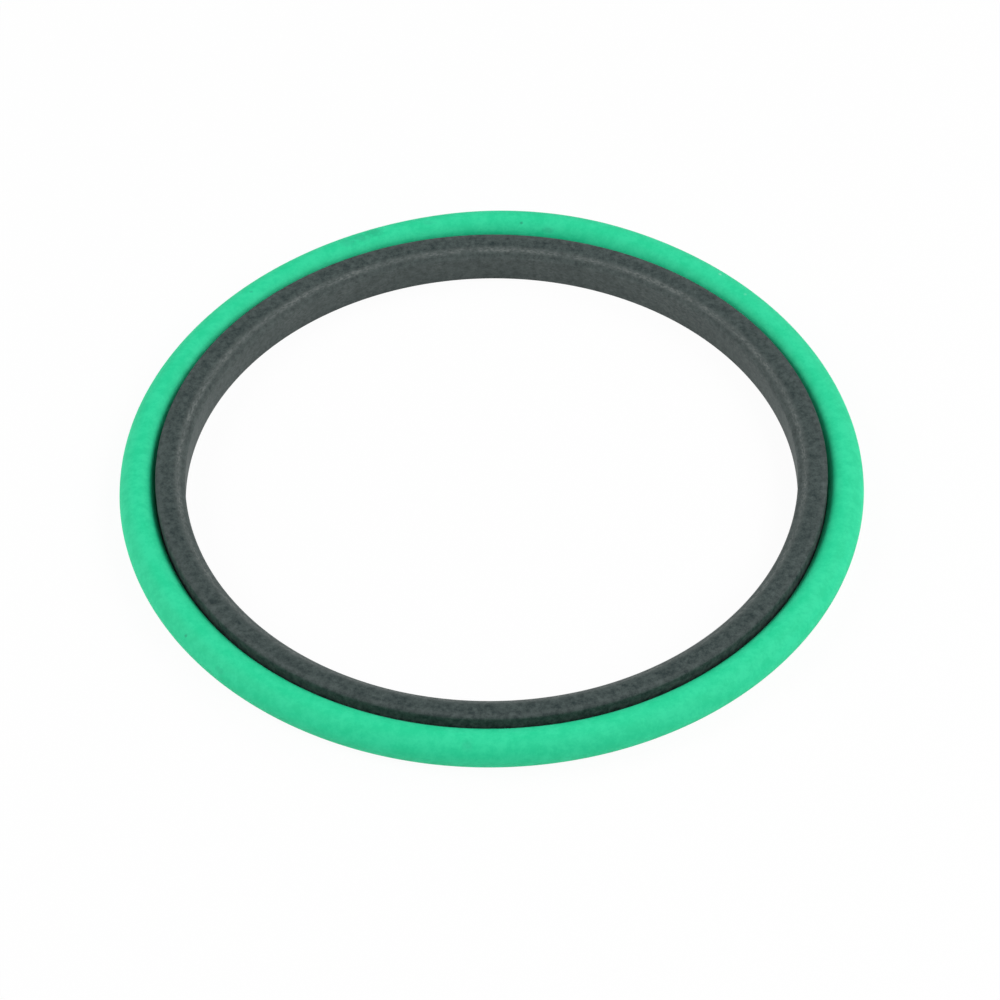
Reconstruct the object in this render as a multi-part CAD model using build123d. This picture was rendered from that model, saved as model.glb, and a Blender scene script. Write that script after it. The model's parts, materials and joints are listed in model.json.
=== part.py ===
from build123d import *
import os
from math import atan2, cos, degrees, radians, sin, tan

# A rod seal in two pieces, for a hydraulic cylinder.
# The slide ring is turned from filled PTFE. A narrow land in its bore wipes the rod.
# The rubber O-ring lies round it, and in the groove it presses the slide ring on to the rod.
# The seal lies flat, with its pressure side up.
# The origin is on the slide ring's axis, in the plane that both pieces lie on.
# Sizes are in millimetres and angles in degrees. +Z is up and +Y points away from the viewer.

# The rod, and how much narrower than it the land is before the seal is fitted
ROD_DIAMETER = 90
LAND_INTERFERENCE = 0.8

# Slide ring, from the land out to its outer wall, and along the axis
SLIDE_WALL = 4.3
SLIDE_WIDTH = 5.7
LAND_DEPTH = 1.3
LAND_LENGTH = 0.8
# Lead-in on the pressure side: the top face rolls over along a shallow arc,
# and then a steeper cone goes down to the land
LEAD_IN_REACH = 1.75
LEAD_IN_DROP = 0.62
CONE_REACH = 0.55
# Below the land the bore opens again by this angle, so that oil is carried back under the edge
BACK_TAPER = 3
# Sharp corners that the lathe tool has broken
OUTER_EDGE_BREAK = 0.4
BORE_EDGE_BREAK = 0.1

# O-ring, across its round section
O_RING_SECTION = 5.33
# It lies loose. It follows the slide ring on the near side, and its slack stands off on the far side.
SEAT_CLEARANCE = 0.03
SLACK = 1.95
SLACK_DIRECTION = 82.5
# The O-ring leaves the slide ring this far round from the slack side
LEAVING_ANGLE = 76.4
# At the slack side the bend is tighter than round the slide ring, by this much in radius
TIP_TIGHTER_BY = 6.95

land_radius = (ROD_DIAMETER - LAND_INTERFERENCE) / 2
slide_outer_radius = land_radius + SLIDE_WALL
section_radius = O_RING_SECTION / 2


def lead_in():
    """Corners of the lead-in, from the cone up to the top face: three straight cuts along its arc."""
    arc_radius = (LEAD_IN_REACH**2 + LEAD_IN_DROP**2) / (2 * LEAD_IN_DROP)
    arc_end = atan2(LEAD_IN_REACH, arc_radius - LEAD_IN_DROP)
    face_edge = land_radius + CONE_REACH + LEAD_IN_REACH
    arc_centre = SLIDE_WIDTH - arc_radius
    slopes = [arc_end * share for share in (1, 2 / 3, 1 / 3, 0)]
    return [(face_edge - arc_radius * sin(slope), arc_centre + arc_radius * cos(slope)) for slope in slopes]


def slide_section():
    """Half section of the slide ring, in the XZ plane to the right of its axis."""
    land_top = SLIDE_WIDTH - LAND_DEPTH
    land_bottom = land_top - LAND_LENGTH
    foot_radius = land_radius + (land_bottom - BORE_EDGE_BREAK) * tan(radians(BACK_TAPER))
    outline = [
        (slide_outer_radius - OUTER_EDGE_BREAK, SLIDE_WIDTH),
        (slide_outer_radius, SLIDE_WIDTH - OUTER_EDGE_BREAK),
        (slide_outer_radius, OUTER_EDGE_BREAK),
        (slide_outer_radius - OUTER_EDGE_BREAK, 0),
        (foot_radius + BORE_EDGE_BREAK, 0),
        (foot_radius, BORE_EDGE_BREAK),
        (land_radius, land_bottom),
        (land_radius, land_top),
        *lead_in(),
    ]
    return Plane.XZ * make_face(Polyline(*outline, close=True))


def slide_ring():
    """The turned ring: its section, swung once round the axis."""
    return revolve(slide_section(), Axis.Z)


def o_ring_path():
    """Centreline of the O-ring: four arcs that run into each other, with the slack side towards +X."""
    hug_radius = slide_outer_radius + SEAT_CLEARANCE + section_radius
    tip_radius = hug_radius - TIP_TIGHTER_BY
    tip_x = TIP_TIGHTER_BY + SLACK
    leaving = radians(LEAVING_ANGLE)
    # A flank is larger than the hugging arc by this much, so that it also runs into the tip
    flank_extra = (tip_x**2 - TIP_TIGHTER_BY**2) / (2 * (TIP_TIGHTER_BY - tip_x * cos(leaving)))
    flank_radius = hug_radius + flank_extra
    flank_x = -flank_extra * cos(leaving)
    flank_y = flank_extra * sin(leaving)
    tip_angle = degrees(atan2(flank_y, tip_x - flank_x))
    return Wire([
        Edge.make_circle(tip_radius, Plane((tip_x, 0)), -tip_angle, tip_angle),
        Edge.make_circle(flank_radius, Plane((flank_x, -flank_y)), tip_angle, LEAVING_ANGLE),
        Edge.make_circle(hug_radius, Plane.XY, LEAVING_ANGLE, -LEAVING_ANGLE),
        Edge.make_circle(flank_radius, Plane((flank_x, flank_y)), -LEAVING_ANGLE, -tip_angle),
    ])


def o_ring():
    """The moulded ring, lying on the plane of the slide ring's lower face."""
    path = o_ring_path()
    section = Plane(path @ 0, z_dir=path % 0) * Circle(section_radius)
    return Pos(0, 0, section_radius) * Rot(0, 0, SLACK_DIRECTION) * sweep(section, path)


os.makedirs("parts", exist_ok=True)
export_step(slide_ring(), "parts/slide_ring.step")
export_step(o_ring(), "parts/o_ring.step")
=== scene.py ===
import json
from math import atan2, cos, radians, sin, tan

import bmesh
import bpy
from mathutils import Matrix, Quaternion, Vector


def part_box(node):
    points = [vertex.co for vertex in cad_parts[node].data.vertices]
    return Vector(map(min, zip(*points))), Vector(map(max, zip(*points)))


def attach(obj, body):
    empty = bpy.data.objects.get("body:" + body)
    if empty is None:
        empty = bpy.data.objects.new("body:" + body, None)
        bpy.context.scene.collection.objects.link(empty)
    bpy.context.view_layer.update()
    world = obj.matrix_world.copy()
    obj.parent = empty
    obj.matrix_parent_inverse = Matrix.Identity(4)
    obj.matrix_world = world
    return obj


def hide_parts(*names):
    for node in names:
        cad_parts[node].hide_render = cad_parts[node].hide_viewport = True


# A rod seal for a hydraulic cylinder, lying flat on a white table: a slide ring turned from
# filled PTFE, and the green rubber O-ring that lies loose round it.
# Lengths are in metres and angles in degrees, and MM turns a size in millimetres into metres.
# A name that ends in _MM is a size in millimetres.

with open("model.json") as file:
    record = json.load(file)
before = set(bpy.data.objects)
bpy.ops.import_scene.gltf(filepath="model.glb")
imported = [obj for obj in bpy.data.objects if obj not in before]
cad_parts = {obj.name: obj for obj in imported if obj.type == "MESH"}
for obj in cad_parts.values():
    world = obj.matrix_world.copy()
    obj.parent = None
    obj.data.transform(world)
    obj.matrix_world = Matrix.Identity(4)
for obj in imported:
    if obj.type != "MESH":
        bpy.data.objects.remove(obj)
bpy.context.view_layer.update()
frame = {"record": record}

MM = 0.001
BODY = "root"
MERGE_DISTANCE = 0.001 * MM

# Slide ring: its outer wall, its width and its land come from the frame
ring_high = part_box("slide_ring")[1]
OUTER_RADIUS = ring_high.x
WIDTH = ring_high.z
rod_bore = next(m for m in frame["record"]["mounts"] if m["name"] == "rod_bore")
LAND_RADIUS = rod_bore["dims"]["r_mm"] * MM
LAND_MIDDLE = rod_bore["pos_m"][2]
LAND_LENGTH = rod_bore["dims"]["length_mm"] * MM
# The shallow arc in which the top face rolls over, and the steeper cone between it and the land
LEAD_IN_REACH = 1.75 * MM
LEAD_IN_DROP = 0.62 * MM
LEAD_IN_CUTS = 9
CONE_REACH = 0.55 * MM
# The bore opens again below the land, and its lower edge is broken
BACK_TAPER = 3
BORE_EDGE_BREAK = 0.1 * MM
# Rounding of the outer edges, and of the much sharper corners in the bore
OUTER_EDGE_BREAK = 0.4 * MM
OUTER_EDGE_SEGMENTS = 6
CORNER_ROUNDING = 0.09 * MM
CORNER_SEGMENTS = 3
# Steps of the spin that carries the section round
SPIN_STEPS = 480
# Facets that meet at less than this angle are shaded as one surface
SLIDE_RING_SMOOTHING = 20
O_RING_SMOOTHING = 40

# O-ring: its section and the circle that it follows round the slide ring come from the frame
o_low, o_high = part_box("o_ring")
SECTION_RADIUS = (o_high.z - o_low.z) / 2
HUG_RADIUS = -o_low.y - SECTION_RADIUS
# How far its slack stands off, towards which side, and how far round from there it leaves the slide ring
SLACK = 1.95 * MM
SLACK_DIRECTION = 82.5
LEAVING_ANGLE = 76.4
# At the slack side its bend is this much tighter in radius
TIP_TIGHTER_BY = 6.95 * MM
# Sides of its round section, and the length of a step along the ring
SECTION_SIDES = 64
STEP_LENGTH = 0.7 * MM
# Parting line of the mould, round the outside and the inside. A corner this near to it lies on it.
PARTING_WIDTH = 0.09 * MM
PARTING_HEIGHT = 0.015 * MM
PARTING_SEGMENTS = 2
ON_THE_LINE = 0.01 * MM

# Filled PTFE. The colours are sRGB hex values, here and below.
# A name that ends in _FROM or _TO is a noise level: between the two a pattern fades in.
PTFE_DARK = "001818"
PTFE_PALE = "485351"
# Paler colour of the bore, and of the painted highlights and wear on the rims of the face
PTFE_PALER_HIGHLIGHT_AND_WEAR = "676E6C"
PTFE_IOR = 1.36
PTFE_SMOOTHEST = 0.64
PTFE_ROUGHEST = 0.78
MOTTLING_MM = 0.9
MOTTLING_FROM = 0.32
MOTTLING_TO = 0.68
# Rings that the lathe tool has left. They are finer on the real seal: here they are coarse enough to show.
TOOL_RING_LENGTH_MM = 9
TOOL_RING_WIDTH_MM = 0.16
TOOL_RING_HEIGHT = 0.02 * MM
TOOL_RING_STRENGTH = 0.6
# Pale flecks along the cut, and the stretches in which there are more or fewer of them
FLECK_LENGTH_MM = 0.55
FLECK_WIDTH_MM = 0.24
FLECK_FROM = 0.42
FLECK_TO = 0.68
STRETCH_MM = 5
STRETCH_FROM = 0.4
STRETCH_TO = 0.6
FEWEST_FLECKS = 0.45
# The bore: how far from the land its paleness reaches, and how pale it is between the flecks and on them
BORE_BAND = 0.6 * MM
BORE_PALENESS = 0.24
BORE_FLECK_PALENESS = 0.56
# Pale bands of the top face, a painted highlight on the outer rim and a painted highlight with wear on the
# crest: where each one runs, half its width, and how strong it is
RIM_RADIUS = OUTER_RADIUS - 0.6 * MM
RIM_BAND = 0.5 * MM
RIM_HIGHLIGHT = 0.1
CREST_RADIUS = LAND_RADIUS + 1.0 * MM
CREST_BAND = 1.0 * MM
CREST_HIGHLIGHT_AND_WEAR = 0.3
CREST_FLECK_BAND = 0.6 * MM

# Green rubber
RUBBER_DEEP = "02CE92"
RUBBER_BLOOM = "26D99F"
RUBBER_IOR = 1.5
BLOOM_MM = 2.2
BLOOM_FROM = 0.4
BLOOM_TO = 0.6
# The skin is rougher where it has more bloom
RUBBER_SMOOTHEST = 0.68
RUBBER_ROUGHEST = 0.78
ROUGHNESS_FROM = 0.3
ROUGHNESS_TO = 0.7
# Unevenness of the skin, also coarser than on the real seal so that it shows
SKIN_MM = 0.3
SKIN_HEIGHT = 0.01 * MM
SKIN_STRENGTH = 0.4
# A mark is full in its middle and fades out towards a ragged edge
RAGGED_EDGE_MM = 0.5
MARK_FULL_AT = 0.8
MARK_GONE_AT = 1.5
# Marks on the O-ring, in millimetres: place, reach along X, Y and Z, strength from 0 to 1, and colour
DIRT = "00564A"
DUST = "8FEBCB"
MARKS = [
    # Dark streak on the far left
    ((-21.8, 47.8, 5.2), (1.9, 1.2, 1.2), 0.19, DIRT),
    ((-19.7, 48.8, 5.2), (1.9, 1.2, 1.2), 0.24, DIRT),
    ((-17.6, 49.9, 5), (1.9, 1.2, 1.2), 0.26, DIRT),
    # Smudges, two on the far side and two on the near side
    ((-9.4, 52, 5.3), (1.6, 0.6, 0.6), 0.12, DIRT),
    ((9.2, 50.8, 4.5), (1.2, 0.6, 0.6), 0.2, DIRT),
    ((-38.2, -38, 4), (1.3, 1.1, 0.6), 0.12, DIRT),
    ((-3.7, -52.9, 4.9), (1.0, 1.2, 0.9), 0.12, DIRT),
    # Specks of dirt
    ((5.1, 52, 5), (0.3, 0.3, 0.3), 0.5, DIRT),
    ((-36.1, 37, 5.3), (0.4, 0.4, 0.4), 0.25, DIRT),
    ((-43.2, -31.8, 4.4), (0.35, 0.35, 0.35), 0.4, DIRT),
    # Specks of dust
    ((35.2, 39.7, 5.2), (0.35, 0.35, 0.35), 0.5, DUST),
    ((38.8, 35.1, 5.3), (0.35, 0.35, 0.35), 0.3, DUST),
]

# Camera: SENSOR_WIDTH and LENS are in millimetres, as Blender takes them
CAMERA_ELEVATION = 46.42
CAMERA_DISTANCE = 597.6 * MM
CAMERA_TARGET = (1.19 * MM, -2.16 * MM, 0)
CAMERA_ROLL = -0.59
SENSOR_WIDTH = 36
LENS = 146.8

# Light: a weak room, and soft boxes at this distance and of this width
ROOM_LIGHT = 0.02
BOX_DISTANCE = 0.8
BOX_WIDTH = 0.5

# Table: how much of it is plain white where the camera sees it. The rest is paint, which shows the shadow.
TABLE_SIZE = 4
TABLE_PAINT = "FAFAFA"
TABLE_WHITENESS = 0.95
WHITE = "FFFFFF"
# Circle along the gap between the rings, and the strip on both sides of it in which the table isn't white
GAP_CENTRE = Quaternion((0, 0, 1), radians(SLACK_DIRECTION)) @ Vector((SLACK / 2, 0, 0))
GAP_RADIUS = OUTER_RADIUS + 1.2 * MM
GAP_STRIP = 2.5 * MM
GAP_STRIP_END = 3.4 * MM


def edit_mesh():
    """The mesh of the object in edit mode."""
    return bmesh.from_edit_mesh(bpy.context.object.data)


def select_vertices(chosen):
    """In edit mode, selects just the vertices for which chosen(place) is true."""
    mesh = edit_mesh()
    bpy.ops.mesh.select_all(action="DESELECT")
    bpy.ops.mesh.select_mode(type="VERT")
    for vertex in mesh.verts:
        vertex.select = chosen(vertex.co)
    mesh.select_flush_mode()
    bmesh.update_edit_mesh(bpy.context.object.data)


def move_vertices(moved):
    """In edit mode, puts each vertex at moved(place)."""
    for vertex in edit_mesh().verts:
        vertex.co = moved(vertex.co)
    bmesh.update_edit_mesh(bpy.context.object.data)


def finish_piece(name, material, node, smooth_angle):
    """Closes the mesh in edit mode, names the piece and gives it its finish and its place in the frame."""
    piece = bpy.context.object
    bpy.ops.mesh.select_all(action="SELECT")
    bpy.ops.mesh.remove_doubles(threshold=MERGE_DISTANCE)
    bpy.ops.mesh.normals_make_consistent(inside=False)
    bpy.ops.object.mode_set(mode="OBJECT")
    bpy.ops.object.transform_apply(location=True, rotation=True, scale=True)
    bpy.ops.object.shade_smooth_by_angle(angle=radians(smooth_angle))
    piece.name = name
    piece.data.name = name
    piece.data.materials.clear()
    piece.data.materials.append(material)
    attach(piece, BODY)
    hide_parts(node)


def turn_away(place, cut_normal):
    """One cut on the lathe: takes away what lies past the line through place in the ring's section."""
    bpy.ops.mesh.select_all(action="SELECT")
    bpy.ops.mesh.bisect(
        plane_co=place, plane_no=Vector(cut_normal).normalized(), clear_outer=True, threshold=MERGE_DISTANCE)


def roll_over():
    """Cuts the lead-in's arc as a row of straight cuts that touch it. The arc leaves the top face level."""
    arc_radius = (LEAD_IN_REACH**2 + LEAD_IN_DROP**2) / (2 * LEAD_IN_DROP)
    arc_end = atan2(LEAD_IN_REACH, arc_radius - LEAD_IN_DROP)
    face_edge = LAND_RADIUS + CONE_REACH + LEAD_IN_REACH
    for cut in range(LEAD_IN_CUTS):
        slope = arc_end * (cut + 0.5) / LEAD_IN_CUTS
        place = (face_edge - arc_radius * sin(slope), 0, WIDTH - arc_radius * (1 - cos(slope)))
        turn_away(place, (-sin(slope), 0, cos(slope)))


def make_slide_ring(material):
    """Turns the slide ring: its blank section, the lathe's cuts, the rounded corners and one full spin."""
    bpy.ops.object.select_all(action="DESELECT")
    wall = OUTER_RADIUS - LAND_RADIUS
    bpy.ops.mesh.primitive_plane_add(
        size=1, location=(LAND_RADIUS + wall / 2, 0, WIDTH / 2), rotation=(radians(90), 0, 0))
    bpy.ops.transform.resize(value=(wall, 1, WIDTH))
    bpy.ops.object.transform_apply(location=True, rotation=True, scale=True)
    bpy.ops.object.mode_set(mode="EDIT")

    # From the top face down: the rolled edge, the cone to the land, the back taper and the lower edge
    cone_radius = LAND_RADIUS + CONE_REACH
    cone_top = WIDTH - LEAD_IN_DROP
    cone_drop = cone_top - (LAND_MIDDLE + LAND_LENGTH / 2)
    land_bottom = LAND_MIDDLE - LAND_LENGTH / 2
    taper = radians(BACK_TAPER)
    foot_radius = LAND_RADIUS + (land_bottom - BORE_EDGE_BREAK) * tan(taper)
    roll_over()
    turn_away((cone_radius, 0, cone_top), (-cone_drop, 0, CONE_REACH))
    turn_away((LAND_RADIUS, 0, land_bottom), (-cos(taper), 0, -sin(taper)))
    turn_away((foot_radius, 0, BORE_EDGE_BREAK), (-1, 0, -1))

    select_vertices(lambda place: place.x > OUTER_RADIUS - MERGE_DISTANCE)
    bpy.ops.mesh.bevel(offset=OUTER_EDGE_BREAK, segments=OUTER_EDGE_SEGMENTS, affect="VERTICES")
    select_vertices(lambda place: place.x < cone_radius - MERGE_DISTANCE)
    bpy.ops.mesh.bevel(
        offset=CORNER_ROUNDING, segments=CORNER_SEGMENTS, affect="VERTICES", clamp_overlap=True)

    # Only the section's outline is spun
    bpy.ops.mesh.select_all(action="SELECT")
    bpy.ops.mesh.delete(type="ONLY_FACE")
    bpy.ops.mesh.select_all(action="SELECT")
    bpy.ops.mesh.spin(steps=SPIN_STEPS, angle=radians(360), center=(0, 0, 0), axis=(0, 0, 1))
    finish_piece("turned_slide_ring", material, "slide_ring", SLIDE_RING_SMOOTHING)


def o_ring_arcs():
    """Centre, radius and angle of each arc of the O-ring's centreline. The first one hugs the slide ring."""
    tip_x = TIP_TIGHTER_BY + SLACK
    leaving = radians(LEAVING_ANGLE)
    flank_extra = (tip_x**2 - TIP_TIGHTER_BY**2) / (2 * (TIP_TIGHTER_BY - tip_x * cos(leaving)))
    flank_x = -flank_extra * cos(leaving)
    flank_y = flank_extra * sin(leaving)
    tip_angle = atan2(flank_y, tip_x - flank_x)
    return [
        (Vector((0, 0, 0)), HUG_RADIUS, radians(360) - 2 * leaving),
        (Vector((flank_x, flank_y, 0)), HUG_RADIUS + flank_extra, leaving - tip_angle),
        (Vector((tip_x, 0, 0)), HUG_RADIUS - TIP_TIGHTER_BY, 2 * tip_angle),
        (Vector((flank_x, -flank_y, 0)), HUG_RADIUS + flank_extra, leaving - tip_angle),
    ]


def raise_parting_line():
    """Gives the section a very low ridge at its outermost and innermost points."""
    select_vertices(lambda place: abs(place.y) < ON_THE_LINE)
    bpy.ops.mesh.bevel(offset=PARTING_WIDTH, segments=PARTING_SEGMENTS, affect="VERTICES")
    reach = SECTION_RADIUS + PARTING_HEIGHT
    for vertex in edit_mesh().verts:
        if abs(vertex.co.y) < ON_THE_LINE:
            vertex.co.x = reach if vertex.co.x > 0 else -reach
    bmesh.update_edit_mesh(bpy.context.object.data)


def make_o_ring(material):
    """Carries the round section along the four arcs that the O-ring's centreline follows."""
    bpy.ops.object.select_all(action="DESELECT")
    bpy.ops.mesh.primitive_circle_add(vertices=SECTION_SIDES, radius=SECTION_RADIUS)
    bpy.ops.object.mode_set(mode="EDIT")
    raise_parting_line()

    # The section stands upright where the O-ring leaves the slide ring, with the slack side towards +X
    start = Quaternion((0, 0, 1), radians(LEAVING_ANGLE))
    upright = Quaternion((1, 0, 0), radians(90))
    move_vertices(lambda place: start @ (upright @ place + Vector((HUG_RADIUS, 0, 0))))
    bpy.ops.mesh.select_all(action="SELECT")
    # A spin turns clockwise round its axis, so the axis points down
    for centre, radius, angle in o_ring_arcs():
        steps = round(radius * angle / STEP_LENGTH)
        bpy.ops.mesh.spin(steps=steps, angle=angle, center=centre, axis=(0, 0, -1))

    # It is turned to its slack side, and lies on the table
    slack_side = Quaternion((0, 0, 1), radians(SLACK_DIRECTION))
    move_vertices(lambda place: slack_side @ place + Vector((0, 0, SECTION_RADIUS)))
    finish_piece("moulded_o_ring", material, "o_ring", O_RING_SMOOTHING)


def linear(hex_code):
    """Linear colour from an sRGB hex value such as 2FD9A0."""
    parts = [int(hex_code[i:i + 2], 16) / 255 for i in (0, 2, 4)]
    return [p / 12.92 if p <= 0.04045 else ((p + 0.055) / 1.055) ** 2.4 for p in parts] + [1.0]


def new_tree(material_name):
    """A new material and its empty node tree."""
    material = bpy.data.materials.new(material_name)
    material.use_nodes = True
    material.node_tree.nodes.clear()
    return material, material.node_tree


def add_node(tree, kind, inputs=None, output=0, **settings):
    """Adds a node with its settings and gives one of its outputs. An input takes a value or an output."""
    node = tree.nodes.new("ShaderNode" + kind)
    for name, value in settings.items():
        setattr(node, name, value)
    for socket, value in (inputs or {}).items():
        if isinstance(value, bpy.types.NodeSocket):
            tree.links.new(value, node.inputs[socket])
        else:
            node.inputs[socket].default_value = value
    return node.outputs[output] if node.outputs else None


def per_metre(size_mm):
    """Scale of a pattern whose features are this many millimetres across."""
    return 1 / (size_mm * MM)


def band(tree, value, middle, half_width):
    """1 where the value is at the middle of a band, and fading to 0 at half the band's width."""
    away = add_node(tree, "Math", {0: value, 1: middle}, operation="SUBTRACT")
    away = add_node(tree, "Math", {0: away}, operation="ABSOLUTE")
    fade = {"Value": away, "From Max": half_width, "To Min": 1.0, "To Max": 0.0}
    return add_node(tree, "MapRange", fade, interpolation_type="SMOOTHSTEP")


def filled_ptfe():
    """PTFE with a dark filler, turned. The filler shows as a neutral mottling of darker and paler grains.
    The tool has left very fine rings, and the bore is paler than the face. The outer rim of the face has a
    painted highlight, and the crest above the cone has a painted highlight with wear."""
    material, tree = new_tree("filled_ptfe_turned")
    place = add_node(tree, "TexCoord", output="Object")
    pattern = {"Vector": place, "Scale": per_metre(MOTTLING_MM), "Detail": 4.0, "Roughness": 0.8}
    grain = add_node(tree, "TexNoise", pattern, "Fac")
    fade = {"Value": grain, "From Min": MOTTLING_FROM, "From Max": MOTTLING_TO}
    share = add_node(tree, "MapRange", fade)
    ends = {0: share, 6: linear(PTFE_DARK), 7: linear(PTFE_PALE)}
    colour = add_node(tree, "Mix", ends, 2, data_type="RGBA")

    # Distance from the axis, direction round it, and height over the table
    flat = add_node(tree, "VectorMath", {0: place, 1: (1, 1, 0)}, operation="MULTIPLY")
    radius = add_node(tree, "VectorMath", {0: flat}, "Value", operation="LENGTH")
    direction = add_node(tree, "VectorMath", {0: flat}, operation="NORMALIZE")
    height = add_node(tree, "SeparateXYZ", {0: place}, "Z")

    def along_cut(length_mm, width_mm, detail):
        """Noise drawn out round the axis, length_mm long and width_mm wide."""
        turn = OUTER_RADIUS * per_metre(length_mm)
        around = add_node(tree, "VectorMath", {0: direction, "Scale": turn}, operation="SCALE")
        outward = add_node(tree, "Math", {0: radius, 1: per_metre(width_mm)}, operation="MULTIPLY")
        outward = add_node(tree, "CombineXYZ", {"Z": outward})
        spread = add_node(tree, "VectorMath", {0: around, 1: outward}, operation="ADD")
        upward = add_node(tree, "Math", {0: height, 1: per_metre(width_mm)}, operation="MULTIPLY")
        pattern = {"Vector": spread, "W": upward, "Scale": 1.0, "Detail": detail}
        return add_node(tree, "TexNoise", pattern, "Fac", noise_dimensions="4D")

    # Short pale flecks along the cut, more in some stretches than in others
    pattern = {"Vector": place, "Scale": per_metre(STRETCH_MM), "Detail": 1.0}
    stretches = add_node(tree, "TexNoise", pattern, "Fac")
    fade = {"Value": stretches, "From Min": STRETCH_FROM, "From Max": STRETCH_TO, "To Min": FEWEST_FLECKS}
    stretches = add_node(tree, "MapRange", fade)
    flecks = along_cut(FLECK_LENGTH_MM, FLECK_WIDTH_MM, detail=2.0)
    flecks = add_node(tree, "MapRange", {"Value": flecks, "From Min": FLECK_FROM, "From Max": FLECK_TO})
    flecks = add_node(tree, "Math", {0: flecks, 1: stretches}, operation="MULTIPLY")

    # The bore is paler than the face
    bore = band(tree, radius, LAND_RADIUS, BORE_BAND)
    fade = {"Value": flecks, "To Min": BORE_PALENESS, "To Max": BORE_FLECK_PALENESS}
    share = add_node(tree, "Math", {0: bore, 1: add_node(tree, "MapRange", fade)}, operation="MULTIPLY")
    ends = {0: share, 6: colour, 7: linear(PTFE_PALER_HIGHLIGHT_AND_WEAR)}
    colour = add_node(tree, "Mix", ends, 2, data_type="RGBA")

    # A painted highlight on the outer rim, and a painted highlight with wear on the crest above the cone,
    # which has flecks on top
    highlight_and_wear = 0.0
    for where, half_width, highlight_and_wear_level in (
            (RIM_RADIUS, RIM_BAND, RIM_HIGHLIGHT),
            (CREST_RADIUS, CREST_BAND, CREST_HIGHLIGHT_AND_WEAR),
            (CREST_RADIUS, CREST_FLECK_BAND, flecks)):
        added = {0: band(tree, radius, where, half_width), 1: highlight_and_wear_level, 2: highlight_and_wear}
        highlight_and_wear = add_node(tree, "Math", added, operation="MULTIPLY_ADD")
    fade = {"Value": height, "From Min": WIDTH - 2 * LEAD_IN_DROP, "From Max": WIDTH - LEAD_IN_DROP}
    upper = add_node(tree, "MapRange", fade)
    share = add_node(tree, "Math", {0: highlight_and_wear, 1: upper}, operation="MULTIPLY")
    ends = {0: share, 6: colour, 7: linear(PTFE_PALER_HIGHLIGHT_AND_WEAR)}
    colour = add_node(tree, "Mix", ends, 2, data_type="RGBA")

    rings = along_cut(TOOL_RING_LENGTH_MM, TOOL_RING_WIDTH_MM, detail=1.0)
    relief = add_node(tree, "Math", {0: rings, 1: grain}, operation="ADD")
    bump = add_node(tree, "Bump", {
        "Height": relief, "Strength": TOOL_RING_STRENGTH, "Distance": TOOL_RING_HEIGHT})
    fade = {"Value": grain, "To Min": PTFE_SMOOTHEST, "To Max": PTFE_ROUGHEST}
    rough = add_node(tree, "MapRange", fade)
    finish = {"Base Color": colour, "Roughness": rough, "IOR": PTFE_IOR, "Normal": bump}
    shader = add_node(tree, "BsdfPrincipled", finish)
    add_node(tree, "OutputMaterial", {"Surface": shader})
    return material


def green_rubber():
    """Nitrile rubber, moulded. Its skin is matte, with faint cloudy patches of bloom, a dark streak and
    smudges from handling, and a few specks of dirt and dust."""
    material, tree = new_tree("green_rubber_moulded")
    place = add_node(tree, "TexCoord", output="Object")
    pattern = {"Vector": place, "Scale": per_metre(BLOOM_MM), "Detail": 5.0, "Roughness": 0.8}
    clouds = add_node(tree, "TexNoise", pattern, "Fac")
    share = add_node(tree, "MapRange", {"Value": clouds, "From Min": BLOOM_FROM, "From Max": BLOOM_TO})
    ends = {0: share, 6: linear(RUBBER_DEEP), 7: linear(RUBBER_BLOOM)}
    colour = add_node(tree, "Mix", ends, 2, data_type="RGBA")

    # Each mark is a soft spot: its distance is 1 where its reach ends, and the noise makes its edge ragged
    pattern = {"Vector": place, "Scale": per_metre(RAGGED_EDGE_MM), "Detail": 2.0}
    ragged = add_node(tree, "TexNoise", pattern, "Fac")
    for mark_place, reach, strength, mark_colour in MARKS:
        middle = [p * MM for p in mark_place]
        shrink = [1 / (r * MM) for r in reach]
        away = add_node(tree, "VectorMath", {0: place, 1: middle}, operation="SUBTRACT")
        away = add_node(tree, "VectorMath", {0: away, 1: shrink}, operation="MULTIPLY")
        distance = add_node(tree, "VectorMath", {0: away}, "Value", operation="LENGTH")
        edge = add_node(tree, "Math", {0: distance, 1: ragged}, operation="ADD")
        fade = {
            "Value": edge, "From Min": MARK_FULL_AT, "From Max": MARK_GONE_AT,
            "To Min": strength, "To Max": 0.0}
        ends = {0: add_node(tree, "MapRange", fade), 6: colour, 7: linear(mark_colour)}
        colour = add_node(tree, "Mix", ends, 2, data_type="RGBA")

    skin = add_node(tree, "TexNoise", {"Vector": place, "Scale": per_metre(SKIN_MM), "Detail": 2.0}, "Fac")
    bump = add_node(tree, "Bump", {"Height": skin, "Strength": SKIN_STRENGTH, "Distance": SKIN_HEIGHT})
    fade = {
        "Value": clouds, "From Min": ROUGHNESS_FROM, "From Max": ROUGHNESS_TO,
        "To Min": RUBBER_SMOOTHEST, "To Max": RUBBER_ROUGHEST}
    rough = add_node(tree, "MapRange", fade)
    finish = {"Base Color": colour, "Roughness": rough, "IOR": RUBBER_IOR, "Normal": bump}
    shader = add_node(tree, "BsdfPrincipled", finish)
    add_node(tree, "OutputMaterial", {"Surface": shader})
    return material


def white_where_seen(tree):
    """1 for what the camera sees, straight or mirrored or through glass, and 0 for what lights the seal."""
    seen = 0.0
    for kind in ("Is Camera Ray", "Is Glossy Ray", "Is Transmission Ray"):
        ray = add_node(tree, "LightPath", output=kind)
        seen = add_node(tree, "Math", {0: seen, 1: ray}, operation="MAXIMUM")
    return seen


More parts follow.
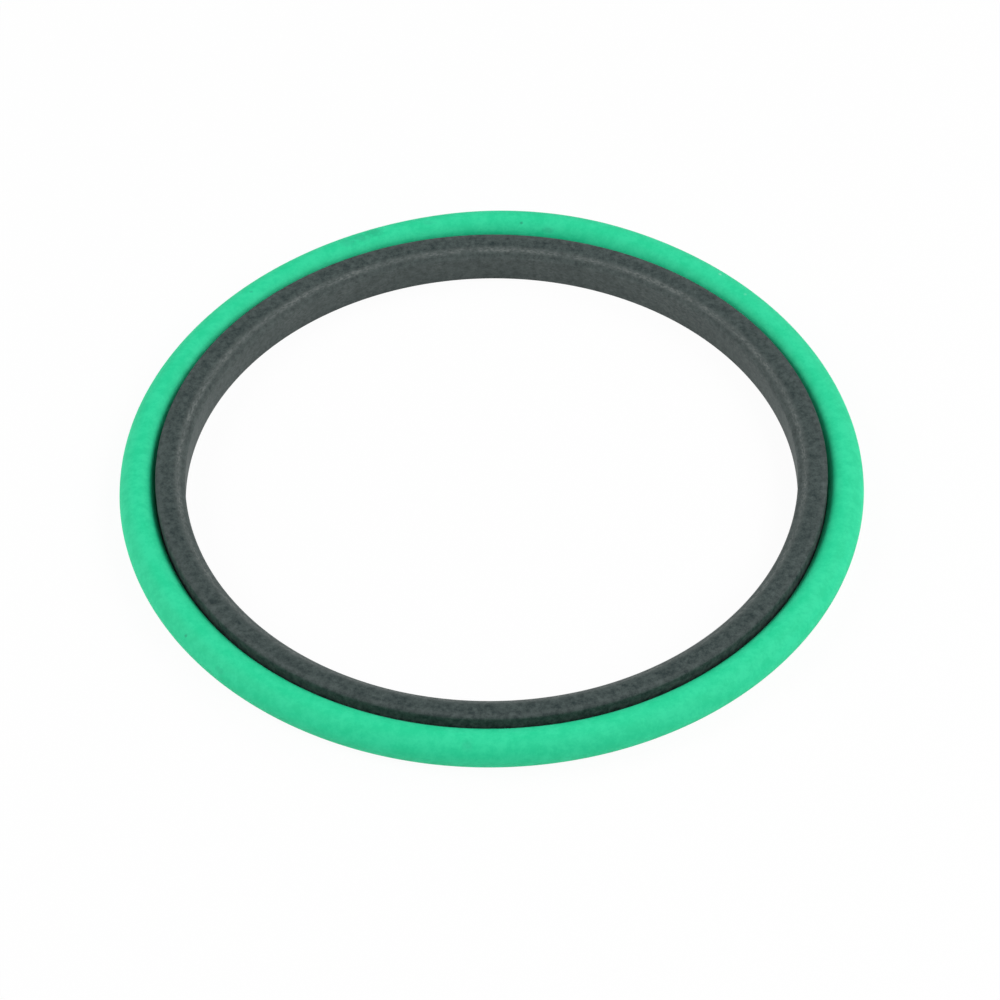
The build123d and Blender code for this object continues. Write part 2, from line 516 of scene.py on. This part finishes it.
def add_table():
    """White table top that the seal lies on. It shows the seal's shadow faintly."""
    bpy.ops.object.select_all(action="DESELECT")
    bpy.ops.mesh.primitive_plane_add(size=TABLE_SIZE)
    table = bpy.context.object
    table.name = "table_top"
    material, tree = new_tree("white_table")
    paint = add_node(tree, "BsdfDiffuse", {"Color": linear(TABLE_PAINT)})
    glow = add_node(tree, "Emission", {"Color": linear(WHITE), "Strength": 1.0})

    # In the gap between the two rings the table lies in their shade, so it isn't white there
    place = add_node(tree, "TexCoord", output="Object")
    away = add_node(tree, "VectorMath", {0: place, 1: GAP_CENTRE}, operation="SUBTRACT")
    distance = add_node(tree, "VectorMath", {0: away}, "Value", operation="LENGTH")
    off_gap = add_node(tree, "Math", {0: distance, 1: GAP_RADIUS}, operation="SUBTRACT")
    off_gap = add_node(tree, "Math", {0: off_gap}, operation="ABSOLUTE")
    fade = {"Value": off_gap, "From Min": GAP_STRIP, "From Max": GAP_STRIP_END, "To Max": TABLE_WHITENESS}
    white = add_node(tree, "MapRange", fade)
    share = add_node(tree, "Math", {0: white_where_seen(tree), 1: white}, operation="MULTIPLY")
    blend = add_node(tree, "MixShader", {0: share, 1: paint, 2: glow})
    add_node(tree, "OutputMaterial", {"Surface": blend})
    table.data.materials.append(material)


def light_the_room():
    """Weak even light from all round. The room itself is seen as white."""
    world = bpy.data.worlds.new("pale_room")
    bpy.context.scene.world = world
    world.use_nodes = True
    tree = world.node_tree
    tree.nodes.clear()
    strength = add_node(tree, "MapRange", {"Value": white_where_seen(tree), "To Min": ROOM_LIGHT})
    glow = add_node(tree, "Background", {"Color": linear(WHITE), "Strength": strength})
    add_node(tree, "OutputWorld", {"Surface": glow})


def add_soft_box(name, azimuth, elevation, height, power):
    """Large soft lamp that faces the seal. Its azimuth goes anticlockwise from +X, as seen from above."""
    side, rise = radians(azimuth), radians(elevation)
    place = BOX_DISTANCE * Vector((cos(rise) * cos(side), cos(rise) * sin(side), sin(rise)))
    data = bpy.data.lights.new(name, "AREA")
    data.shape = "RECTANGLE"
    data.size = BOX_WIDTH
    data.size_y = height
    data.energy = power
    lamp = bpy.data.objects.new(name, data)
    lamp.location = place
    lamp.rotation_euler = (-place).to_track_quat("-Z", "Y").to_euler()
    bpy.context.scene.collection.objects.link(lamp)


def add_camera():
    """The photograph's view, from the near side and above."""
    elevation = radians(CAMERA_ELEVATION)
    place = CAMERA_DISTANCE * Vector((0, -cos(elevation), sin(elevation)))
    look = (Vector(CAMERA_TARGET) - place).to_track_quat("-Z", "Y")
    data = bpy.data.cameras.new("camera")
    data.sensor_width = SENSOR_WIDTH
    data.lens = LENS
    camera = bpy.data.objects.new("camera", data)
    camera.location = place
    camera.rotation_euler = (look @ Quaternion((0, 0, 1), radians(CAMERA_ROLL))).to_euler()
    bpy.context.scene.collection.objects.link(camera)
    bpy.context.scene.camera = camera


bpy.context.scene.view_settings.view_transform = "Standard"
add_camera()

# The weak room, two soft boxes on the left and three round the right side
light_the_room()
add_soft_box("left_low_box", azimuth=180, elevation=14, height=0.3, power=0.7)
add_soft_box("left_box", azimuth=180, elevation=40, height=0.5, power=3.5)
add_soft_box("front_right_box", azimuth=315, elevation=40, height=0.5, power=3.2)
add_soft_box("right_box", azimuth=0, elevation=40, height=0.5, power=1.4)
add_soft_box("back_right_box", azimuth=45, elevation=40, height=0.5, power=1.9)

add_table()
make_slide_ring(filled_ptfe())
make_o_ring(green_rubber())
